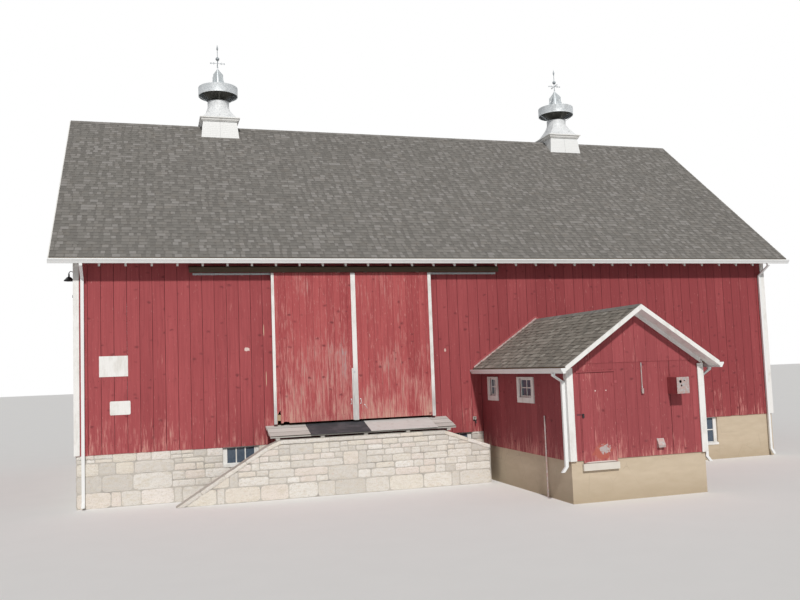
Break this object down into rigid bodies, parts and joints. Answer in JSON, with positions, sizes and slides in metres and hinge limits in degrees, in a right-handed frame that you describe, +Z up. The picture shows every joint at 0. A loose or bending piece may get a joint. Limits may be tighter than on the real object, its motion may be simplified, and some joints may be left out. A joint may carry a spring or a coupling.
{
  "type": "gable barn with sliding doors",
  "caption": "Long timber barn with a steep gable roof, sliding doors over a plank bridge, a stone base, roof ventilators and a small gabled entrance wing.",
  "frame": {"origin": "on the ground under the middle of the whole building's box, 1.3 m below the foot of the barn's boards", "axes": "+X along the front to the right as seen from the front, +Y from the wing to the back wall, +Z up"},
  "size_m": [21.3, 16.92, 13.9051],
  "materials": {
    "stone": "coursed pale stone with mortar, rough",
    "plaster": "trowelled cement plaster, rough",
    "old_planks": "grey weathered bare planks",
    "mat": "dark ribbed mat",
    "sheet": "pale worn sheet",
    "timber": "bare sawn timber",
    "red_boards": "worn red paint on boards",
    "shingles": "grey-brown mineral shingles on roof boards",
    "white_paint": "white paint on boards",
    "white_metal": "white coated sheet",
    "galvanised": "galvanised sheet, slightly dull",
    "glass": "old window glass, dark inside",
    "dark_metal": "dark enamel"
  },
  "bodies": {
    "barn": {"foundation_front_left": "stone", "foundation_front_right": "plaster", "foundation_back": "stone", "foundation_sides": "stone", "bridge_wall": "stone", "bridge_deck": "old_planks", "bridge_mat": "mat", "bridge_sheet": "sheet", "floor_beams": "timber", "barn_floor": "timber", "front_wall_left": "red_boards", "front_wall_right": "red_boards", "front_wall_header": "red_boards", "back_wall": "red_boards", "left_gable_wall": "red_boards", "right_gable_wall": "red_boards", "frame_posts": "timber", "frame_beams": "timber", "rafters_front": "timber", "rafters_back": "timber", "roof_front": "shingles", "roof_back": "shingles", "barn_trim": "white_paint", "gutters": "white_metal", "downspouts": "white_metal", "door_track": "galvanised", "track_hood": "old_planks", "window_frames": "white_paint", "window_panes": "glass", "wall_fixtures": "dark_metal", "vent_bases": "white_paint", "vent_hoods": "galvanised", "vent_caps": "galvanised", "vent_finials": "galvanised", "wing_foundation": "plaster", "wing_floor": "plaster", "wing_front_wall": "red_boards", "wing_gable": "red_boards", "wing_side_walls": "red_boards", "wing_roof_left": "shingles", "wing_roof_right": "shingles", "wing_trim": "white_paint", "wing_fittings": "galvanised"},
    "left_leaf": {"left_door": "red_boards", "cover_strip": "white_paint", "left_irons": "galvanised"},
    "right_leaf": {"right_door": "red_boards", "right_irons": "galvanised"},
    "wing_leaf": {"wing_door": "red_boards"}
  },
  "joints": [
    {"name": "left_door_slide", "type": "slide", "parent": "barn", "child": "left_leaf", "axis": [-1, 0, 0], "range_m": [0, 2]},
    {"name": "right_door_slide", "type": "slide", "parent": "barn", "child": "right_leaf", "axis": [1, 0, 0], "range_m": [0, 0.95]},
    {"name": "wing_door_hinge", "type": "hinge", "parent": "barn", "child": "wing_leaf", "pos_m": [1.623, -8.082, 1.9], "axis": [0, 0, 1], "range_deg": [0, 105]}
  ]
}
